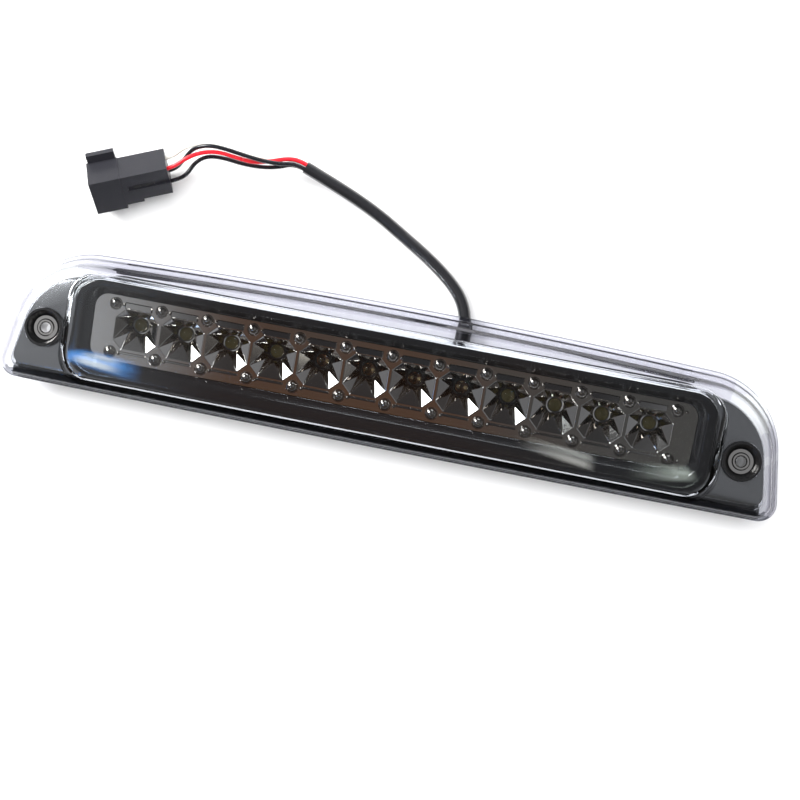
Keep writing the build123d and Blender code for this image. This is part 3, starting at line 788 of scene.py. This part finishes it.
def reflector_skin():
    """The tray's face with its cups and a ring at each cup's foot, later painted black as shade round its
    lamp, as one open skin.
    """
    points, faces = tray_face()
    for column in led_columns:
        rings = cup_rings(column)
        count = len(rings[0])
        mouth_ring, belly, hole = (len(points) + n * count for n in range(3))
        points.extend(tuple(point) for ring in rings for point in ring)
        for i in range(count):
            j = (i + 1) % count
            faces.append((mouth_ring + i, mouth_ring + j, belly + i))
            faces.append((mouth_ring + i, belly + i, hole + i))
            faces.append((mouth_ring + j, hole + j, belly + i))
            faces.append((hole + i, belly + i, hole + j))
    # A ring of faces at each cup's foot, to carry the painted shade round its lamp.
    for column in led_columns:
        start = len(points)
        for radius, z in ((CUP_HOLE_R, CUP_HOLE_Z), (SHADE_RING_R, CUP_HOLE_Z - SHADE_RING_DROP)):
            points.extend((x, y, z) for x, y in arc((column, LED_Y), radius, 0, 2 * math.pi, SHADE_RING_STEPS))
        for i in range(SHADE_RING_STEPS):
            j = (i + 1) % SHADE_RING_STEPS
            faces.append((start + i, start + j, start + SHADE_RING_STEPS + j, start + SHADE_RING_STEPS + i))
    return points, faces


skin_points, skin_faces = reflector_skin()
reflector = add_mesh("reflector_tray", skin_points, skin_faces, smooth_angle=0)
soften = reflector.modifiers.new("edges", "BEVEL")
soften.width = TRAY_EDGE_R * MM
soften.segments = 2
soften.limit_method = "ANGLE"
soften.angle_limit = math.radians(12)
thicken = reflector.modifiers.new("wall", "SOLIDIFY")
thicken.thickness = TRAY_T * MM
thicken.offset = -1.0
baked(reflector)
reflector.data.materials.append(chrome)
reflector.data.materials.append(painted_dark_gloss)
# Faces of the ring round each lamp get the black gloss: painted shade in the gap beside the lamp's body.
for face in reflector.data.polygons:
    off_axis = (face.center.x / MM - led_columns[0]) % LED_PITCH
    reach = math.hypot(min(off_axis, LED_PITCH - off_axis), face.center.y / MM - LED_Y)
    face.material_index = int(reach < CUP_HOLE_R and face.center.z < (CUP_HOLE_Z + SHADE_RING_BAND) * MM)
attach(reflector, "lamp")
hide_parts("reflector")


def dome_rings(centre_x, centre_v, radius, base_n, height, steps=10, sides=24):
    """Rings of a small dome on the tray, from its foot to near its top."""
    rings = []
    for step in range(steps):
        angle = math.pi / 2 * step / (steps - 0.5)
        ring = arc((centre_x, centre_v), radius * math.cos(angle), 0, 2 * math.pi, sides)
        rings.append(leaning(ring, base_n + height * math.sin(angle)))
    return rings


def merged(name, parts, smooth_angle=SMOOTH_ANGLE):
    """One object from lists of capped rings, one list for each lump."""
    points = []
    faces = []
    for rings in parts:
        start = len(points)
        count = len(rings[0])
        points.extend(tuple(point) for ring in rings for point in ring)
        for row in range(len(rings) - 1):
            here = start + row * count
            for i in range(count):
                j = (i + 1) % count
                faces.append((here + i, here + j, here + count + j, here + count + i))
        faces.append(tuple(range(start, start + count)))
        faces.append(tuple(range(start + (len(rings) - 1) * count, start + len(rings) * count)))
    return add_mesh(name, points, faces, smooth_angle)


STUD_R = 2.7
STUD_HEIGHT = 2.0
COLLAR_TOP_N = 0.55
STUD_COLLAR = ((3.3, -0.4), (3.3, 0.35), (3.05, COLLAR_TOP_N), (STUD_R + 0.05, COLLAR_TOP_N))


def stud(column, row):
    """A ball-topped stud with a collar at its foot."""
    collar = [leaning(arc((column, row), radius, 0, 2 * math.pi, 24), n) for radius, n in STUD_COLLAR]
    return collar + dome_rings(column, row, STUD_R, COLLAR_TOP_N, STUD_HEIGHT)


BAR_LEVELLING = 0.95
BAR_HALF_LENGTH = 7.0
BAR_FOOT_N = -0.3
BUMP_OFFSET = 4.6
BUMP_R = 1.0
BUMP_HEIGHT = 1.5


def bar(column, row, half_width, high, bevel):
    """A low bar on the tray with chamfered upper edges."""
    rings = []
    for inset, n in ((0.0, BAR_FOOT_N), (0.0, high - bevel), (bevel, high)):
        x = BAR_HALF_LENGTH - inset
        v = half_width - inset
        corners = np.array(((x, -v), (x, v), (-x, v), (-x, -v))) + (column, row)
        ring = leaning(corners, n)
        if n > BAR_FOOT_N:
            ring[:, 2] += (ring[:, 2].min() - ring[:, 2]) * BAR_LEVELLING
        rings.append(ring)
    return rings


stud_places = [(x, v) for x in stud_columns for v in (-STUD_ROW, STUD_ROW)]
studs = merged("reflector_studs", [stud(x, v) for x, v in stud_places])
bumps = merged(
    "reflector_bumps",
    [dome_rings(x + BUMP_OFFSET, v, BUMP_R, BAR_FOOT_N, BUMP_HEIGHT, 6, 16) for x, v in stud_places],
)
bars = merged(
    "reflector_bars",
    [bar(x, STUD_ROW, 1.7, 1.2, 0.35) for x in led_columns]
    + [bar(x, -STUD_ROW + 0.6, 0.6, 0.8, 0.25) for x in led_columns],
)
for piece, material in ((studs, stud_shaded_chrome), (bumps, stud_shaded_chrome), (bars, chrome)):
    piece.data.materials.append(material)
    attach(piece, "lamp")

# ---- Lamps on the board ---------------------------------------------------------------------------------


BOARD_TOP = 10.0
LED_R = 3.8
DOME_R = 3.4
DOME_FOOT_Z = 14.6
DOME_STEPS = 12
DOME_REACH = math.pi / 2 * 0.98
BODY_PROFILE = ((LED_R, BOARD_TOP), (LED_R, 13.2), (LED_R - 0.4, 13.6), (2.9, 13.6), (2.3, 12.2))
CUP_PROFILE = ((2.35, 12.25), (2.75, 13.4), (2.6, 13.45), (1.9, 12.6))
DOME_PROFILE = [(DOME_R - 0.2, 13.65)] + [
    (DOME_R * math.cos(a), DOME_FOOT_Z + DOME_R * math.sin(a)) for a in np.linspace(0, DOME_REACH, DOME_STEPS)
]
DIE_PROFILE = ((0.42, 12.62), (0.42, 12.95))
DIE_OFFSET = 0.75
DIE_SIDES = 12


def turned(centre, profile, sides=40):
    """Rings of a turned shape about an upright axis, from radius and height pairs."""
    return [level(arc(centre, radius, 0, 2 * math.pi, sides), z) for radius, z in profile]


brake_columns = led_columns[4:8]
cargo_columns = led_columns[:4] + led_columns[8:]
for label, columns, cup_material in (
    ("brake", brake_columns, copper_cup),
    ("cargo", cargo_columns, phosphor),
):
    for part, profile, material in (
        ("bodies", BODY_PROFILE, epoxy_black),
        ("cups", CUP_PROFILE, cup_material),
        ("domes", DOME_PROFILE, dome_clear),
    ):
        piece = merged(f"led_{label}_{part}", [turned((x, LED_Y), profile) for x in columns])
        piece.data.materials.append(material)
        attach(piece, "lamp")
        if part == "bodies":
            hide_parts(f"leds_{label}")

die_columns = [x + side * DIE_OFFSET for x in brake_columns for side in (-1, 1)]
dies = merged("led_brake_dies", [turned((x, LED_Y), DIE_PROFILE, DIE_SIDES) for x in die_columns])
dies.data.materials.append(die_gold)
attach(dies, "lamp")

# ---- Carried-over CAD nodes: softened edges and materials -----------------------------------------------

BEVELS = {
    "housing": 0.35,
    "gasket": 0.3,
    "connector_housing": 0.28,
    "terminal_lock": 0.15,
    "screw_grommet_left": 0.25,
    "screw_grommet_right": 0.25,
    "screw_bushing_left": 0.45,
    "screw_bushing_right": 0.45,
    "cable_grommet": 0.3,
    "led_board": 0.12,
}
BEVEL_SEGMENTS = 3
BEVEL_LEAST_ANGLE = math.radians(40)
NODE_MATERIALS = {
    "housing": housing_black,
    "led_board": board_green,
    "resistors": epoxy_black,
    "diodes": epoxy_black,
    "board_screws": screw_zinc,
    "board_leads": wire_black_pvc,
    "lens_seal": seal_butyl,
    "gasket": gasket_foam,
    "cable_grommet": rubber_black,
    "screw_grommet_left": rubber_black,
    "screw_grommet_right": rubber_black,
    "screw_bushing_left": bushing_bright,
    "screw_bushing_right": bushing_bright,
    "connector_housing": connector_nylon,
    "terminals": terminal_tin,
    "terminal_lock": lock_nylon,
}


def dressed(piece, material):
    """Give every slot of a carried-over piece one material."""
    if not piece.data.materials:
        piece.data.materials.append(material)
    for slot in range(len(piece.data.materials)):
        piece.data.materials[slot] = material


for node_name, material in NODE_MATERIALS.items():
    piece = nodes[node_name]
    dressed(piece, material)
    if node_name in BEVELS:
        edge = piece.modifiers.new("edges", "BEVEL")
        edge.width = BEVELS[node_name] * MM
        edge.segments = BEVEL_SEGMENTS
        edge.limit_method = "ANGLE"
        edge.angle_limit = BEVEL_LEAST_ANGLE
        edge.harden_normals = True

CORD_MATERIALS = {
    "cable_sleeve": sleeve_pvc,
    "wire_white": wire_white_pvc,
    "wire_red": wire_red_pvc,
    "wire_black_upper": wire_black_pvc,
    "wire_black_lower": wire_black_pvc,
}
for node_name, (tube, _) in cords.items():
    tube.data.materials.append(CORD_MATERIALS[node_name])

# ---- Floor ----------------------------------------------------------------------------------------------

FLOOR_HALF = 3.0
FLOOR_GAP = 0.0002
floor = add_mesh(
    "floor",
    np.array(((-1, -1, 0), (1, -1, 0), (1, 1, 0), (-1, 1, 0))) * FLOOR_HALF / MM,
    [(0, 1, 2, 3)],
)
floor.location.z = cad_box[0][2] - FLOOR_GAP
floor.data.materials.append(floor_paper)

# ---- World: a bright horizon, a grey and brown room in front, and its windows ---------------------------

HORIZON_TO_ZENITH = (
    (0.0, (0.42, 0.42, 0.44)),
    (0.22, (0.22, 0.22, 0.23)),
    (0.5, (0.06, 0.056, 0.054)),
    (1.0, (0.03, 0.03, 0.033)),
)
ROOM_GREY = (0.085, 0.082, 0.080)
ROOM_BROWN = (0.11, 0.062, 0.041)
RIGHT_GREY = (0.28, 0.28, 0.29)
LEFT_GREY = (0.42, 0.42, 0.43)
BLUE_WINDOW = (1.2, 4.0, 10.0)
BLUE_WINDOW_CORE = (14.0, 16.0, 18.0)
WARM_WINDOW = (7.5, 7.5, 7.0)
PALE_WINDOW = (5.0, 5.6, 5.0)
WINDOW_LEAN = 0.5

world = bpy.data.worlds.new("studio")
scene.world = world
world.use_nodes = True
tree = world.node_tree
background = tree.nodes["Background"]
background.inputs["Strength"].default_value = 1.0
direction = tree.nodes.new("ShaderNodeTexCoord")
split = tree.nodes.new("ShaderNodeSeparateXYZ")
tree.links.new(direction.outputs["Generated"], split.inputs["Vector"])
to_x, to_y, to_z = (split.outputs[axis] for axis in "XYZ")
ramp = tree.nodes.new("ShaderNodeValToRGB")
ramp.color_ramp.interpolation = "EASE"
stops = ramp.color_ramp.elements
for stop, (position, color) in zip((stops[0], stops[1]), (HORIZON_TO_ZENITH[0], HORIZON_TO_ZENITH[-1])):
    stop.position = position
    stop.color = (*color, 1)
for position, color in HORIZON_TO_ZENITH[1:-1]:
    stops.new(position).color = (*color, 1)
tree.links.new(to_z, ramp.inputs["Fac"])


def fade(socket, start, end):
    """A smooth step of a world value, 0 at start and 1 at end."""
    span = tree.nodes.new("ShaderNodeMapRange")
    span.interpolation_type = "SMOOTHSTEP"
    span.inputs["From Min"].default_value = start
    span.inputs["From Max"].default_value = end
    tree.links.new(socket, span.inputs["Value"])
    return span.outputs["Result"]


def times(first, second):
    """The product of two world values."""
    product = tree.nodes.new("ShaderNodeMath")
    product.operation = "MULTIPLY"
    tree.links.new(first, product.inputs[0])
    tree.links.new(second, product.inputs[1])
    return product.outputs["Value"]


def laid_over(under, color, share):
    """A world colour with another laid over a share of it."""
    mix = tree.nodes.new("ShaderNodeMix")
    mix.data_type = "RGBA"
    tree.links.new(share, mix.inputs["Factor"])
    tree.links.new(under, mix.inputs["A"])
    mix.inputs["B"].default_value = (*color, 1)
    return mix.outputs["Result"]


def slanted(share):
    """The direction's Y with a share of its X added."""
    node = tree.nodes.new("ShaderNodeMath")
    node.operation = "MULTIPLY_ADD"
    tree.links.new(to_x, node.inputs[0])
    node.inputs[1].default_value = share
    tree.links.new(to_y, node.inputs[2])
    return node.outputs["Value"]


def window(under, color, lean, x_span, y_span):
    """The world with a soft-edged bright window: each span is start, full, full, end."""
    beside = times(fade(to_x, *x_span[:2]), fade(to_x, x_span[3], x_span[2]))
    height = slanted(lean)
    upward = times(fade(height, *y_span[:2]), fade(height, y_span[3], y_span[2]))
    return laid_over(under, color, times(times(beside, upward), overhead))


blotches = tree.nodes.new("ShaderNodeTexNoise")
blotches.inputs["Scale"].default_value = 7.0
blotches.inputs["Detail"].default_value = 1.0
tree.links.new(direction.outputs["Generated"], blotches.inputs["Vector"])
overhead = fade(to_z, 0.74, 0.84)
patchy = fade(blotches.outputs["Fac"], 0.35, 0.55)
in_front = times(fade(to_y, -0.15, -0.30), fade(to_z, 0.60, 0.70))
to_left = times(fade(to_x, -0.18, -0.28), overhead)
to_right = times(times(fade(to_x, 0.03, 0.12), overhead), fade(to_y, -0.25, -0.12))

sky = laid_over(ramp.outputs["Color"], ROOM_GREY, in_front)
sky = laid_over(sky, ROOM_BROWN, times(times(in_front, patchy), fade(to_x, 0.05, -0.05)))
sky = laid_over(sky, RIGHT_GREY, to_right)
sky = laid_over(sky, LEFT_GREY, to_left)
sky = window(
    sky, BLUE_WINDOW, WINDOW_LEAN, (-0.42, -0.34, -0.250, -0.232), (-0.615, -0.600, -0.590, -0.572)
)
sky = window(
    sky, BLUE_WINDOW_CORE, WINDOW_LEAN, (-0.36, -0.30, -0.258, -0.243), (-0.608, -0.598, -0.593, -0.583)
)
sky = window(
    sky, WARM_WINDOW, WINDOW_LEAN, (-0.015, 0.022, 0.027, 0.036), (-0.494, -0.482, -0.478, -0.466)
)
sky = window(sky, PALE_WINDOW, -WINDOW_LEAN, (0.05, 0.09, 0.13, 0.17), (-0.538, -0.524, -0.516, -0.502))
tree.links.new(sky, background.inputs["Color"])
scene.view_settings.view_transform = "Standard"

# ---- Light ----------------------------------------------------------------------------------------------


def softbox(name, place, width, height, power, color=(1, 1, 1)):
    """A rectangular area light aimed at the model's origin."""
    data = bpy.data.lights.new(name, "AREA")
    data.shape = "RECTANGLE"
    data.size = width
    data.size_y = height
    data.energy = power
    data.color = color
    light = bpy.data.objects.new(name, data)
    scene.collection.objects.link(light)
    light.location = place
    aim(light, Vector((0, 0, 0)), Vector((0, 0, 1)))
    return light


softbox("key", (-1.30, 0.58, 1.11), 0.7, 0.62, 34)
softbox("side_right", (1.5, -0.35, 0.9), 0.30, 0.30, 0.22, (1.0, 0.94, 0.82))
softbox("back", (0.2, 1.9, 0.9), 1.2, 0.25, 6, (0.93, 0.96, 1.0))
tent = softbox("tent", (0, 0.3, 2.5), 3.0, 3.0, 100)
tent.visible_glossy = False
tent.visible_transmission = False
